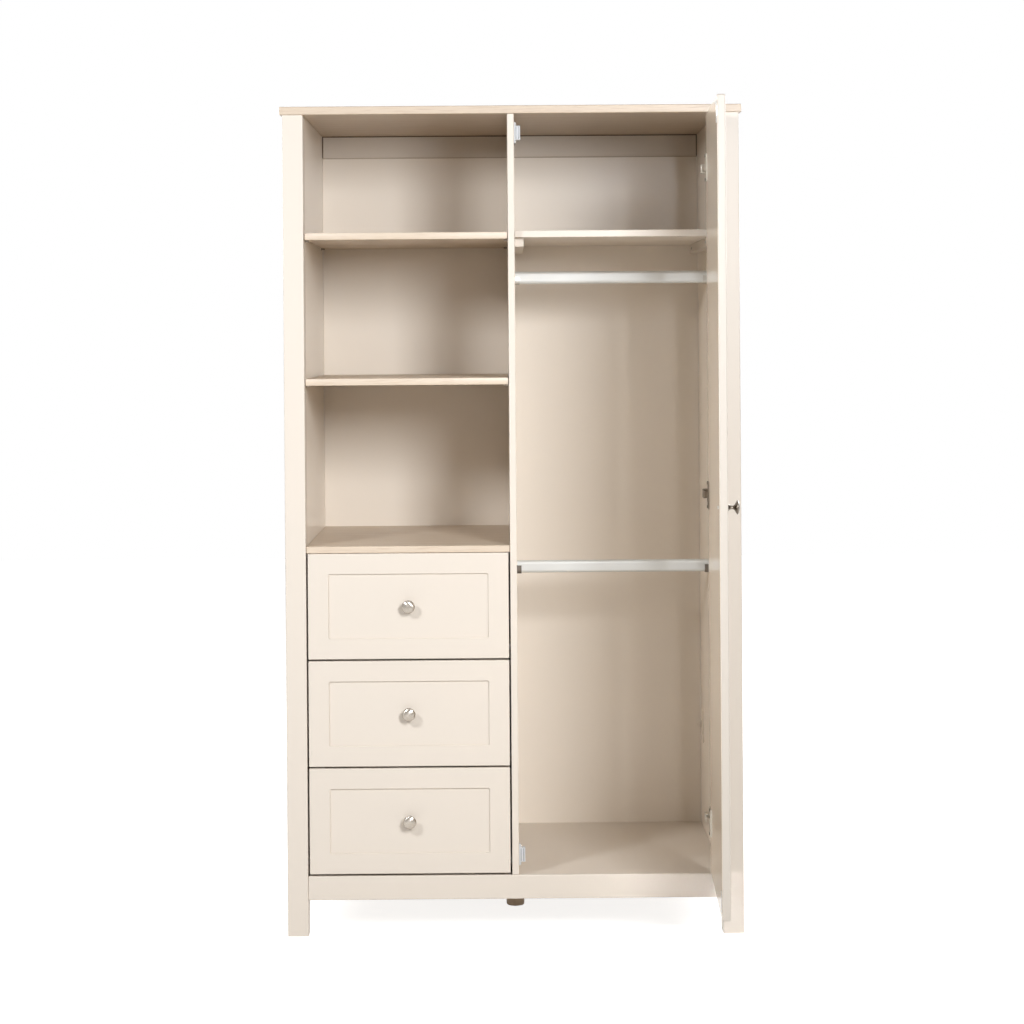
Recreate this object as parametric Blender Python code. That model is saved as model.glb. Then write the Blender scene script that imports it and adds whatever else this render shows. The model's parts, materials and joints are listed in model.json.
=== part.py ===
"""Cream wardrobe with an oak top: open shelves over three drawers, and a hanging space with one door."""
import math

import bmesh
import bpy
from mathutils import Matrix, Vector

for old in list(bpy.data.objects):
    bpy.data.objects.remove(old, do_unlink=True)

# Sizes in metres. Z is up, X runs along the front, Y runs from the front to the back.
HEIGHT = 1.850
CARCASE_WIDTH = 1.018
CARCASE_DEPTH = 0.612
FOOT_FROM_FRONT = 0.294

TOP_THICKNESS = 0.018
TOP_SIDE_OVERHANG = 0.006
TOP_FRONT_OVERHANG = 0.005
POST_SIZE = 0.046
SIDE_THICKNESS = 0.015
CENTRE_THICKNESS = 0.015
BOTTOM_THICKNESS = 0.015
BACK_THICKNESS = 0.005
BACK_INSET = 0.011
BACK_RAIL_HEIGHT = 0.053
BACK_RAIL_THICKNESS = 0.015
BACK_RAIL_PROUD = 0.003

PLINTH_BOTTOM = 0.080
PLINTH_TOP = 0.1335
PLINTH_THICKNESS = 0.022
PLINTH_SETBACK = 0.0015
FLOOR_DROP = 0.0025

SHELF_THICKNESS = 0.015
DRAWER_SHELF_BOTTOM = 0.8541
DRAWER_SHELF_SETBACK = 0.006
LOWER_BAY_HEIGHT = 0.3594
TOP_BAY_HEIGHT = 0.2632
LOOSE_SHELF_SETBACK = 0.006
LOOSE_SHELF_END_GAP = 0.0004
LOOSE_SHELF_BACK_GAP = 0.003
HANGING_SHELF_DROP = 0.2600
HANGING_SHELF_SETBACK = 0.022
CLEAT_WIDTH = 0.0205
CLEAT_HEIGHT = 0.0200
CLEAT_SETBACK = 0.042
CLEAT_BACK_GAP = 0.030

RAIL_HEIGHT = 0.029
RAIL_WIDTH = 0.015
RAIL_WALL = 0.0015
RAIL_FROM_FRONT = 0.300
UPPER_RAIL_DROP = 0.0843
LOWER_RAIL_RISE = 0.663
SOCKET_PLATE = 0.002
SOCKET_REACH = 0.010
SOCKET_WALL = 0.0018
SOCKET_RISE = 0.003

FOOT_DIAMETER = 0.042
FOOT_ROUND = 0.004

DOOR_THICKNESS = 0.018
DOOR_SIDE_GAP = 0.0025
DOOR_TOP_GAP = 0.004
DOOR_BOTTOM_GAP = 0.002
DOOR_FRAME = 0.080
DOOR_EDGE = 0.003
DOOR_KNOB_RISE = 0.8445
DOOR_AXIS_FROM_POST = 0.003
DOOR_AXIS_AHEAD = 0.0075
DOOR_OPEN_DEG = 88.14
HINGE_FROM_TOP = 0.1215
HINGE_FROM_BOTTOM = 0.1195
CUP_DIAMETER = 0.035
CUP_DEPTH = 0.0113
CUP_WALL = 0.0012
CUP_FROM_EDGE = 0.0235
CUP_HOLE_CLEARANCE = 0.0003
FLANGE_HEIGHT = 0.060
FLANGE_WIDTH = 0.043
FLANGE_THICKNESS = 0.002
ARM_HEIGHT = 0.0195
ARM_NOSE_THICKNESS = 0.008
ARM_NOSE_CLEARANCE = 0.0012
ARM_TIP_CLEARANCE = 0.0015
ARM_CRANK_GAP = 0.004
ARM_CRANK_LENGTH = 0.013
ARM_BASE_THICKNESS = 0.0155
ARM_BASE_START = 0.026
ARM_BASE_LENGTH = 0.044
ARM_BEND = 0.018

CATCH_FROM_END = 0.041
CATCH_EAR_HEIGHT = 0.047
CATCH_BODY_HEIGHT = 0.032
CATCH_EAR_THICKNESS = 0.004
CATCH_REACH = 0.014
CATCH_LENGTH = 0.018
CATCH_DOOR_GAP = 0.0025

DRAWER_FRONT_THICKNESS = 0.018
DRAWER_SIDE_GAP = 0.0037
DRAWER_BETWEEN_GAP = 0.004
DRAWER_BOTTOM_GAP = 0.0047
DRAWER_TOP_GAP = 0.0008
DRAWER_FRAME = 0.046
DRAWER_BOX_CLEARANCE = 0.013
DRAWER_BOX_THICKNESS = 0.012
DRAWER_BOX_HEIGHT = 0.150
DRAWER_BOX_LENGTH = 0.480
DRAWER_BOX_RISE = 0.030
DRAWER_BASE_THICKNESS = 0.004
DRAWER_BASE_RISE = 0.010
RUNNER_WIDTH = 0.024
RUNNER_HEIGHT = 0.012
RUNNER_SETBACK = 0.026
RUNNER_OVERRUN = 0.008
RUNNER_CLEARANCE = 0.0004
PANEL_RECESS = 0.004
RECESS_CORNER = 0.0035
RECESS_RIM = 0.0008

KNOB_DIAMETER = 0.030
KNOB_BASE_DIAMETER = 0.018
KNOB_NECK_DIAMETER = 0.007
KNOB_REACH = 0.026
# Shares of each radius of the knob, with the height as a share of its reach, from the tip to the base.
KNOB_HEAD_PROFILE = (
    (0.00, 1.00), (0.30, 0.99), (0.58, 0.955), (0.82, 0.90), (0.96, 0.84), (1.00, 0.79), (0.97, 0.75),
    (0.78, 0.69), (0.55, 0.635),
)
KNOB_NECK_PROFILE = ((1.35, 0.54), (1.00, 0.44), (1.04, 0.34), (1.25, 0.25))
KNOB_BASE_PROFILE = ((0.70, 0.14), (0.96, 0.04), (1.00, 0.02), (1.00, 0.00), (0.00, 0.00))

FIT_GAP = 0.0003
SOFT_EDGE = 0.002
BOARD_EDGE = 0.0008
HARDWARE_EDGE = 0.0006
SOFT_STEPS = 2
BOARD_STEPS = 1
CORNER_STEPS = 3
ROUND_STEPS = 32
KNOB_STEPS = 28
RAIL_END_STEPS = 10
SMOOTH_DEG = 40
TINY = 1e-6

# Planes of the carcase, measured from the middle of the centre foot.
FRONT = -FOOT_FROM_FRONT
REAR = FRONT + CARCASE_DEPTH
HALF_WIDTH = CARCASE_WIDTH / 2
WALL = HALF_WIDTH - POST_SIZE
HALF_CENTRE = CENTRE_THICKNESS / 2
UNDER_TOP = HEIGHT - TOP_THICKNESS
BACK_REAR = REAR - BACK_INSET
BACK_FACE = BACK_REAR - BACK_THICKNESS
RAIL_FACE = BACK_FACE - BACK_RAIL_PROUD
RAIL_BOTTOM = UNDER_TOP - FIT_GAP - BACK_RAIL_HEIGHT
FLOOR_TOP = PLINTH_TOP - FLOOR_DROP
PLINTH_FACE = FRONT + PLINTH_SETBACK
PLINTH_REAR = PLINTH_FACE + PLINTH_THICKNESS
DRAWER_SHELF_TOP = DRAWER_SHELF_BOTTOM + SHELF_THICKNESS
LOWER_SHELF_BOTTOM = DRAWER_SHELF_TOP + LOWER_BAY_HEIGHT
UPPER_SHELF_BOTTOM = UNDER_TOP - TOP_BAY_HEIGHT - SHELF_THICKNESS
HANGING_SHELF_BOTTOM = UNDER_TOP - HANGING_SHELF_DROP - SHELF_THICKNESS
DOOR_BOTTOM = PLINTH_TOP + DOOR_BOTTOM_GAP
DOOR_TOP = UNDER_TOP - DOOR_TOP_GAP
DOOR_HEIGHT = DOOR_TOP - DOOR_BOTTOM
DOOR_WIDTH = WALL - HALF_CENTRE - 2 * DOOR_SIDE_GAP
DOOR_BACK = FRONT + DOOR_THICKNESS
HINGE_EDGE = WALL - DOOR_SIDE_GAP
AXIS_X = WALL - DOOR_AXIS_FROM_POST
AXIS_Y = FRONT - DOOR_AXIS_AHEAD
CUP_X = HINGE_EDGE - CUP_FROM_EDGE
CUP_INNER_RADIUS = CUP_DIAMETER / 2 - CUP_WALL
CUP_HALF_ROOM = math.sqrt(CUP_INNER_RADIUS ** 2 - (ARM_HEIGHT / 2) ** 2)
UPPER_HINGE = DOOR_TOP - HINGE_FROM_TOP
LOWER_HINGE = DOOR_BOTTOM + HINGE_FROM_BOTTOM
HINGE_HEIGHTS = {"lower": LOWER_HINGE, "middle": (LOWER_HINGE + UPPER_HINGE) / 2, "upper": UPPER_HINGE}
DRAWER_NAMES = ("lower", "middle", "upper")
DRAWER_ZONE = DRAWER_SHELF_BOTTOM - DRAWER_TOP_GAP - PLINTH_TOP - DRAWER_BOTTOM_GAP
DRAWER_PITCH = (DRAWER_ZONE + DRAWER_BETWEEN_GAP) / len(DRAWER_NAMES)
DRAWER_HEIGHT = DRAWER_PITCH - DRAWER_BETWEEN_GAP
DRAWER_WIDTH = WALL - HALF_CENTRE - 2 * DRAWER_SIDE_GAP
DRAWER_X = -(WALL + HALF_CENTRE) / 2
DRAWER_BOX_START = DRAWER_FRONT_THICKNESS + FIT_GAP
DRAWER_BOX_END = DRAWER_BOX_START + DRAWER_BOX_LENGTH


def finish(name, colour, roughness, metallic=0.0):
    """Plain surface for one kind of material, colour in linear red, green, blue."""
    mat = bpy.data.materials.new(name)
    mat.use_nodes = True
    shader = mat.node_tree.nodes["Principled BSDF"]
    shader.inputs["Base Color"].default_value = (*colour, 1.0)
    shader.inputs["Roughness"].default_value = roughness
    shader.inputs["Metallic"].default_value = metallic
    mat.diffuse_color = (*colour, 1.0)
    return mat


CREAM = finish("cream_paint", (0.86, 0.79, 0.70), 0.38)
OAK = finish("oak_foil", (0.80, 0.66, 0.50), 0.45)
NICKEL = finish("brushed_nickel", (0.58, 0.54, 0.48), 0.30, 1.0)
ZINC = finish("zinc_plate", (0.62, 0.61, 0.58), 0.25, 1.0)
ALUMINIUM = finish("satin_aluminium", (0.78, 0.77, 0.74), 0.35, 1.0)
WHITE = finish("white_plastic", (0.78, 0.79, 0.80), 0.40)
BROWN = finish("brown_plastic", (0.22, 0.16, 0.11), 0.50)
BOX_BOARD = finish("drawer_board", (0.74, 0.66, 0.56), 0.50)


def place(name, mesh, mat, location, parent=None):
    """Put one mesh in the scene as a named piece."""
    mesh.materials.append(mat)
    obj = bpy.data.objects.new(name, mesh)
    obj.location = location
    obj.parent = parent
    bpy.context.scene.collection.objects.link(obj)
    return obj


def axis_point(name, location):
    """Empty that carries the pieces of one moving group."""
    empty = bpy.data.objects.new(name, None)
    empty.location = location
    bpy.context.scene.collection.objects.link(empty)
    return empty


def to_mesh(bm, name):
    """Close the edit mesh, facing outwards, with round forms shaded smooth."""
    bmesh.ops.recalc_face_normals(bm, faces=bm.faces)
    mesh = bpy.data.meshes.new(name)
    bm.to_mesh(mesh)
    bm.free()
    mesh.shade_smooth()
    mesh.set_sharp_from_angle(angle=math.radians(SMOOTH_DEG))
    return mesh


def bevel(bm, edges, size, steps):
    """Round a set of edges."""
    bmesh.ops.bevel(
        bm, geom=edges, offset=size, offset_type="OFFSET", segments=steps, profile=0.5,
        affect="EDGES", clamp_overlap=True, material=-1,
    )


def push(bm, faces, lift):
    """Push faces out of an edit mesh along a vector and return the new geometry."""
    grown = bmesh.ops.extrude_face_region(bm, geom=faces)["geom"]
    moved = [v for v in grown if isinstance(v, bmesh.types.BMVert)]
    bmesh.ops.translate(bm, vec=lift, verts=moved)
    return grown


def block(size):
    """Box of the given size about its middle."""
    bm = bmesh.new()
    bmesh.ops.create_cube(bm, size=1.0)
    bmesh.ops.scale(bm, vec=Vector(size), verts=bm.verts)
    return bm


def prism(points, lift):
    """Solid from a flat outline of points pushed along a vector."""
    bm = bmesh.new()
    face = bm.faces.new([bm.verts.new(p) for p in points])
    push(bm, [face], lift)
    return bm


def board(name, low, high, mat, edge=BOARD_EDGE, steps=BOARD_STEPS, parent=None):
    """Square board between two corners with lightly rounded edges."""
    size = [b - a for a, b in zip(low, high)]
    middle = [(a + b) / 2 for a, b in zip(low, high)]
    bm = block(size)
    bevel(bm, list(bm.edges), edge, steps)
    return place(name, to_mesh(bm, name), mat, middle, parent)


def framed_panel(name, width, height, thickness, frame, edge):
    """Panel about its middle with a shallow recess on its front, which faces -Y."""
    bm = block((width, thickness, height))
    bevel(bm, list(bm.edges), edge, CORNER_STEPS)
    front = min(bm.faces, key=lambda f: f.calc_center_median().y)
    bmesh.ops.inset_region(bm, faces=[front], thickness=frame - edge, use_even_offset=True)
    push(bm, [front], (0, PANEL_RECESS, 0))
    bmesh.ops.delete(bm, geom=[front], context="FACES_ONLY")
    half_x, half_z = width / 2 - frame, height / 2 - frame
    corners = [e for e in bm.edges if is_recess_corner(e, half_x, half_z)]
    bevel(bm, corners, RECESS_CORNER, CORNER_STEPS)
    rim = [e for e in bm.edges if is_recess_rim(e, -thickness / 2, half_x, half_z)]
    bevel(bm, rim, RECESS_RIM, BOARD_STEPS)
    return to_mesh(bm, name)


def is_recess_corner(edge, half_x, half_z):
    """True for the four short edges in the corners of a recess."""
    a, b = edge.verts[0].co, edge.verts[1].co
    on_corner = abs(abs(a.x) - half_x) < TINY and abs(abs(a.z) - half_z) < TINY
    return on_corner and abs(abs(a.y - b.y) - PANEL_RECESS) < TINY


def is_recess_rim(edge, near, half_x, half_z):
    """True for the edges where the frame turns down into the recess."""
    ends = [v.co for v in edge.verts]
    on_face = all(abs(c.y - near) < TINY for c in ends)
    return on_face and all(abs(c.x) < half_x + TINY and abs(c.z) < half_z + TINY for c in ends)


def spun(profile, steps):
    """Solid of revolution about Z from (radius, height) points that start and end on the axis."""
    bm = bmesh.new()
    verts = [bm.verts.new((r, 0.0, h)) for r, h in profile]
    edges = [bm.edges.new(pair) for pair in zip(verts, verts[1:])]
    bmesh.ops.spin(
        bm, geom=verts + edges, cent=(0, 0, 0), axis=(0, 0, 1), dvec=(0, 0, 0), angle=2 * math.pi,
        steps=steps, use_merge=True, use_normal_flip=False, use_duplicate=False,
    )
    bmesh.ops.remove_doubles(bm, verts=bm.verts, dist=TINY)
    return bm


def disc(name, radius, depth):
    """Cylinder about its middle with its axis along Y."""
    bm = bmesh.new()
    bmesh.ops.create_cone(
        bm, cap_ends=True, cap_tris=False, segments=ROUND_STEPS, radius1=radius, radius2=radius, depth=depth,
    )
    bmesh.ops.rotate(bm, cent=(0, 0, 0), matrix=Matrix.Rotation(math.pi / 2, 3, "X"), verts=bm.verts)
    return to_mesh(bm, name)


def tool_shape(name, mesh, location, parent):
    """Hidden shape that only serves a cut or a join."""
    obj = bpy.data.objects.new(name, mesh)
    obj.location = location
    obj.parent = parent
    obj.hide_render = True
    obj.display_type = "WIRE"
    bpy.context.scene.collection.objects.link(obj)
    return obj


def combine(obj, other, operation):
    """Join or cut one shape with a hidden one."""
    mod = obj.modifiers.new(operation.lower(), "BOOLEAN")
    mod.operation = operation
    mod.solver = "EXACT"
    mod.object = other


def post(name, left, start, outer):
    """Square post with soft upright edges on its outer end, the front (-1) or the rear (1)."""
    height = UNDER_TOP - FIT_GAP
    bm = block((POST_SIZE, POST_SIZE, height))
    ends = [e for e in bm.edges if all(outer * v.co.y > 0 for v in e.verts)]
    bevel(bm, [e for e in ends if e.verts[0].co.x * e.verts[1].co.x > 0], SOFT_EDGE, SOFT_STEPS)
    place(name, to_mesh(bm, name), CREAM, (left + POST_SIZE / 2, start + POST_SIZE / 2, height / 2))


def sides():
    """Four posts, with a side panel between each pair."""
    for side, sign in (("left", -1), ("right", 1)):
        near = min(sign * WALL, sign * HALF_WIDTH)
        post(f"front_{side}_post", near, FRONT, -1)
        post(f"rear_{side}_post", near, REAR - POST_SIZE, 1)
        near, far = sorted((sign * WALL, sign * (WALL + SIDE_THICKNESS)))
        board(
            f"{side}_side_panel", (near, FRONT + POST_SIZE + FIT_GAP, PLINTH_BOTTOM),
            (far, REAR - POST_SIZE - FIT_GAP, UNDER_TOP - FIT_GAP), CREAM,
        )


def carcase():
    """Top, plinth, bottom, back and the panel between the two halves."""
    board(
        "top_panel",
        (-HALF_WIDTH - TOP_SIDE_OVERHANG, FRONT - TOP_FRONT_OVERHANG, UNDER_TOP),
        (HALF_WIDTH + TOP_SIDE_OVERHANG, REAR, HEIGHT), OAK, SOFT_EDGE, SOFT_STEPS,
    )
    span = WALL - FIT_GAP
    board(
        "plinth_rail", (-span, PLINTH_FACE, PLINTH_BOTTOM), (span, PLINTH_REAR, PLINTH_TOP),
        CREAM, SOFT_EDGE, SOFT_STEPS,
    )
    board(
        "bottom_panel", (-span, PLINTH_REAR + FIT_GAP, FLOOR_TOP - BOTTOM_THICKNESS),
        (span, BACK_FACE - FIT_GAP, FLOOR_TOP), CREAM,
    )
    board(
        "back_panel", (-span, BACK_FACE, PLINTH_BOTTOM), (span, BACK_REAR, RAIL_BOTTOM - FIT_GAP), CREAM,
    )
    board(
        "back_top_rail", (-span, RAIL_FACE, RAIL_BOTTOM),
        (span, RAIL_FACE + BACK_RAIL_THICKNESS, UNDER_TOP - FIT_GAP), CREAM,
    )
    low, step = FLOOR_TOP + FIT_GAP, PLINTH_TOP + FIT_GAP
    high, notch = UNDER_TOP - FIT_GAP, RAIL_BOTTOM - FIT_GAP
    outline = [
        (FRONT, step), (PLINTH_REAR + FIT_GAP, step), (PLINTH_REAR + FIT_GAP, low), (BACK_FACE - FIT_GAP, low),
        (BACK_FACE - FIT_GAP, notch), (RAIL_FACE - FIT_GAP, notch), (RAIL_FACE - FIT_GAP, high), (FRONT, high),
    ]
    bm = prism([(0, y - FRONT, z - low) for y, z in outline], (CENTRE_THICKNESS, 0, 0))
    bevel(bm, list(bm.edges), BOARD_EDGE, BOARD_STEPS)
    place("centre_panel", to_mesh(bm, "centre_panel"), CREAM, (-HALF_CENTRE, FRONT, low))


def centre_foot():
    """Round foot that holds up the middle of the bottom panel."""
    top = FLOOR_TOP - BOTTOM_THICKNESS - FIT_GAP
    bm = bmesh.new()
    bmesh.ops.create_cone(
        bm, cap_ends=True, cap_tris=False, segments=ROUND_STEPS,
        radius1=FOOT_DIAMETER / 2, radius2=FOOT_DIAMETER / 2, depth=top,
    )
    low = [e for e in bm.edges if all(v.co.z < 0 for v in e.verts)]
    bevel(bm, low, FOOT_ROUND, CORNER_STEPS)
    place("centre_foot", to_mesh(bm, "centre_foot"), BROWN, (0, 0, top / 2))


def shelves():
    """Fixed shelf over the drawers, two loose shelves and the shelf over the hanging space."""
    left, right = -WALL + FIT_GAP, -HALF_CENTRE - FIT_GAP
    board(
        "drawer_top_shelf", (left, FRONT + DRAWER_SHELF_SETBACK, DRAWER_SHELF_BOTTOM),
        (right, BACK_FACE - FIT_GAP, DRAWER_SHELF_TOP), OAK,
    )
    for name, bottom in (("lower_shelf", LOWER_SHELF_BOTTOM), ("upper_shelf", UPPER_SHELF_BOTTOM)):
        board(
            name, (-WALL + LOOSE_SHELF_END_GAP, FRONT + LOOSE_SHELF_SETBACK, bottom),
            (-HALF_CENTRE - LOOSE_SHELF_END_GAP, BACK_FACE - LOOSE_SHELF_BACK_GAP, bottom + SHELF_THICKNESS), OAK,
        )
    left, right = HALF_CENTRE + FIT_GAP, WALL - FIT_GAP
    board(
        "hanging_shelf", (left, FRONT + HANGING_SHELF_SETBACK, HANGING_SHELF_BOTTOM),
        (right, BACK_FACE - FIT_GAP, HANGING_SHELF_BOTTOM + SHELF_THICKNESS), CREAM,
    )
    top = HANGING_SHELF_BOTTOM - FIT_GAP
    for name, start in (("left_cleat", left), ("right_cleat", right - CLEAT_WIDTH)):
        board(
            name, (start, FRONT + CLEAT_SETBACK, top - CLEAT_HEIGHT),
            (start + CLEAT_WIDTH, BACK_FACE - CLEAT_BACK_GAP, top), CREAM,
        )


def half_oval(half_width):
    """Lower half of the upright oval of a rail, grown to a half width, as (y, z) points."""
    drop = (RAIL_HEIGHT - RAIL_WIDTH) / 2
    turns = [math.pi + math.pi * i / RAIL_END_STEPS for i in range(RAIL_END_STEPS + 1)]
    return [(half_width * math.cos(t), half_width * math.sin(t) - drop) for t in turns]


def hanging_rail(name, height):
    """Oval tube between the centre panel and the right side."""
    lower = half_oval(RAIL_WIDTH / 2)
    outline = lower + [(-y, -z) for y, z in lower]
    start = HALF_CENTRE + FIT_GAP + SOCKET_PLATE + FIT_GAP
    length = WALL - FIT_GAP - SOCKET_PLATE - FIT_GAP - start
    bm = bmesh.new()
    near = [bm.verts.new((-length / 2, y, z)) for y, z in outline]
    ring = [bm.edges.new(pair) for pair in zip(near, near[1:] + near[:1])]
    grown = bmesh.ops.extrude_edge_only(bm, edges=ring)["geom"]
    moved = [v for v in grown if isinstance(v, bmesh.types.BMVert)]
    bmesh.ops.translate(bm, vec=(length, 0, 0), verts=moved)
    middle = (start + length / 2, FRONT + RAIL_FROM_FRONT, height)
    obj = place(name, to_mesh(bm, name), ALUMINIUM, middle)
    tube = obj.modifiers.new("tube", "SOLIDIFY")
    tube.thickness = RAIL_WALL
    tube.offset = -1.0
    tube.use_even_offset = True
    tube.use_rim = True


def rail_socket(name, height, wall_x, direction):
    """Open-topped end socket that carries one rail end."""
    loops = []
    for half_width in (RAIL_WIDTH / 2 + FIT_GAP, RAIL_WIDTH / 2 + FIT_GAP + SOCKET_WALL):
        curve = half_oval(half_width)
        loops.append([(curve[0][0], SOCKET_RISE), *curve, (curve[-1][0], SOCKET_RISE)])
    bm = bmesh.new()
    inner, outer = ([bm.verts.new((0, y, z)) for y, z in loop] for loop in loops)
    cradle = bm.faces.new(outer + inner[::-1])
    plate = bm.faces.new(inner)
    bmesh.ops.recalc_face_normals(bm, faces=[cradle, plate])
    grown = push(bm, [cradle, plate], (direction * SOCKET_PLATE, 0, 0))
    rim = max((f for f in grown if isinstance(f, bmesh.types.BMFace)), key=lambda f: len(f.verts))
    push(bm, [rim], (direction * SOCKET_REACH, 0, 0))
    bmesh.ops.delete(bm, geom=[rim], context="FACES_ONLY")
    place(name, to_mesh(bm, name), ZINC, (wall_x, FRONT + RAIL_FROM_FRONT, height))


def rails():
    """Two hanging rails with their end sockets."""
    heights = {"upper": HANGING_SHELF_BOTTOM - UPPER_RAIL_DROP, "lower": FLOOR_TOP + LOWER_RAIL_RISE}
    for level, height in heights.items():
        hanging_rail(f"{level}_hanging_rail", height)
        rail_socket(f"{level}_rail_left_socket", height, HALF_CENTRE + FIT_GAP, 1)
        rail_socket(f"{level}_rail_right_socket", height, WALL - FIT_GAP, -1)


def hinge_arm(name, height):
    """Cranked hinge arm on the right side, its nose made to enter the cup in the door."""
    wall = WALL - FIT_GAP - CUP_X
    base = wall - ARM_BASE_THICKNESS
    nose_left = ARM_NOSE_CLEARANCE - CUP_HALF_ROOM
    nose_right = nose_left + ARM_NOSE_THICKNESS
    tip = ARM_TIP_CLEARANCE + CUP_WALL - CUP_DEPTH
    crank = FLANGE_THICKNESS + ARM_CRANK_GAP
    base_end = ARM_BASE_START + ARM_BASE_LENGTH
    outline = [
        (wall, base_end), (wall, ARM_BASE_START), (nose_right + ARM_CRANK_LENGTH, crank), (nose_right, crank),
        (nose_right, tip), (nose_left, tip), (nose_left, ARM_BEND), (base, ARM_BASE_START + ARM_BEND),
        (base, base_end),
    ]
    bm = prism([(x, y, -ARM_HEIGHT / 2) for x, y in outline], (0, 0, ARM_HEIGHT))
    bevel(bm, list(bm.edges), HARDWARE_EDGE, BOARD_STEPS)
    place(name, to_mesh(bm, name), ZINC, (CUP_X, DOOR_BACK, height))


def magnet_catch(name, height):
    """Magnetic catch with two ears on the centre panel."""
    ear, body = CATCH_EAR_HEIGHT / 2, CATCH_BODY_HEIGHT / 2
    outline = [
        (0, -ear), (CATCH_EAR_THICKNESS, -ear), (CATCH_EAR_THICKNESS, -body), (CATCH_REACH, -body),
        (CATCH_REACH, body), (CATCH_EAR_THICKNESS, body), (CATCH_EAR_THICKNESS, ear), (0, ear),
    ]
    bm = prism([(x, 0, z) for x, z in outline], (0, CATCH_LENGTH, 0))
    bevel(bm, list(bm.edges), HARDWARE_EDGE, BOARD_STEPS)
    spot = (HALF_CENTRE + FIT_GAP, DOOR_BACK + CATCH_DOOR_GAP, height)
    place(name, to_mesh(bm, name), WHITE, spot)


def hardware():
    """Hinge arms on the right side and catches on the centre panel."""
    for level, height in HINGE_HEIGHTS.items():
        hinge_arm(f"hinge_arm_{level}", height)
    magnet_catch("upper_catch", UNDER_TOP - CATCH_FROM_END)
    magnet_catch("lower_catch", PLINTH_TOP + CATCH_FROM_END)


def knob(name, location, parent):
    """Mushroom knob whose base sits at the location and whose head points to -Y."""
    profile = []
    for diameter, shares in (
        (KNOB_DIAMETER, KNOB_HEAD_PROFILE), (KNOB_NECK_DIAMETER, KNOB_NECK_PROFILE),
        (KNOB_BASE_DIAMETER, KNOB_BASE_PROFILE),
    ):
        profile += [(diameter / 2 * r, KNOB_REACH * h) for r, h in shares]
    bm = spun(profile, KNOB_STEPS)
    bmesh.ops.rotate(bm, cent=(0, 0, 0), matrix=Matrix.Rotation(math.pi / 2, 3, "X"), verts=bm.verts)
    place(name, to_mesh(bm, name), NICKEL, location, parent)


def hinge_cup(name, location, parent):
    """Hinge cup sunk in the door with a flange on the inner face."""
    flange = block((FLANGE_WIDTH, FLANGE_THICKNESS, FLANGE_HEIGHT))
    obj = place(name, to_mesh(flange, name), ZINC, location, parent)
    x, y, z = location
    depth = CUP_DEPTH + FLANGE_THICKNESS / 2
    cup = disc(f"{name}_cup", CUP_DIAMETER / 2, depth)
    combine(obj, tool_shape(f"{name}_cup", cup, (x, y - depth / 2, z), parent), "UNION")
    room = 2 * (CUP_DEPTH + FLANGE_THICKNESS / 2 - CUP_WALL)
    hollow = disc(f"{name}_hollow", CUP_INNER_RADIUS, room)
    combine(obj, tool_shape(f"{name}_hollow", hollow, location, parent), "DIFFERENCE")


def door():
    """Door, opened on its axis, with its knob and hinge cups."""
    axis = axis_point("door_axis", (AXIS_X, AXIS_Y, 0))
    axis.rotation_euler = (0, 0, math.radians(DOOR_OPEN_DEG))
    edge = HINGE_EDGE - AXIS_X
    face = FRONT - AXIS_Y
    inner = face + DOOR_THICKNESS
    mesh = framed_panel("door_panel", DOOR_WIDTH, DOOR_HEIGHT, DOOR_THICKNESS, DOOR_FRAME, DOOR_EDGE)
    middle = (edge - DOOR_WIDTH / 2, face + DOOR_THICKNESS / 2, DOOR_BOTTOM + DOOR_HEIGHT / 2)
    panel = place("door_panel", mesh, CREAM, middle, axis)
    cup_x = edge - CUP_FROM_EDGE
    hole_depth = 2 * (CUP_DEPTH + CUP_HOLE_CLEARANCE)
    for level, height in HINGE_HEIGHTS.items():
        hole = disc(f"hole_{level}", CUP_DIAMETER / 2 + CUP_HOLE_CLEARANCE, hole_depth)
        combine(panel, tool_shape(f"hole_{level}", hole, (cup_x, inner, height), axis), "DIFFERENCE")
        hinge_cup(f"hinge_cup_{level}", (cup_x, inner + FIT_GAP + FLANGE_THICKNESS / 2, height), axis)
    knob_x = edge - DOOR_WIDTH + DOOR_FRAME / 2
    knob("door_knob", (knob_x, face - FIT_GAP, DOOR_BOTTOM + DOOR_KNOB_RISE), axis)


def drawer(name, bottom):
    """One drawer: front, two sides, back, base and knob."""
    slide = axis_point(f"{name}_slide", (DRAWER_X, FRONT, bottom))
    mesh = framed_panel(
        f"{name}_front", DRAWER_WIDTH, DRAWER_HEIGHT, DRAWER_FRONT_THICKNESS, DRAWER_FRAME, SOFT_EDGE,
    )
    place(f"{name}_front", mesh, CREAM, (0, DRAWER_FRONT_THICKNESS / 2, DRAWER_HEIGHT / 2), slide)
    knob(f"{name}_knob", (0, PANEL_RECESS - FIT_GAP, DRAWER_HEIGHT / 2), slide)
    outer = (WALL - HALF_CENTRE) / 2 - DRAWER_BOX_CLEARANCE
    inner = outer - DRAWER_BOX_THICKNESS
    start, end = DRAWER_BOX_START, DRAWER_BOX_END
    low, high = DRAWER_BOX_RISE, DRAWER_BOX_RISE + DRAWER_BOX_HEIGHT
    for side, sign in (("left", -1), ("right", 1)):
        near, far = sorted((sign * inner, sign * outer))
        board(f"{name}_{side}_side", (near, start, low), (far, end, high), BOX_BOARD, parent=slide)
    span = inner - FIT_GAP
    back_face = end - DRAWER_BOX_THICKNESS
    board(f"{name}_back", (-span, back_face, low), (span, end, high), BOX_BOARD, parent=slide)
    base = low + DRAWER_BASE_RISE
    board(
        f"{name}_base", (-span, start, base), (span, back_face - FIT_GAP, base + DRAWER_BASE_THICKNESS),
        BOX_BOARD, parent=slide,
    )


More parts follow.
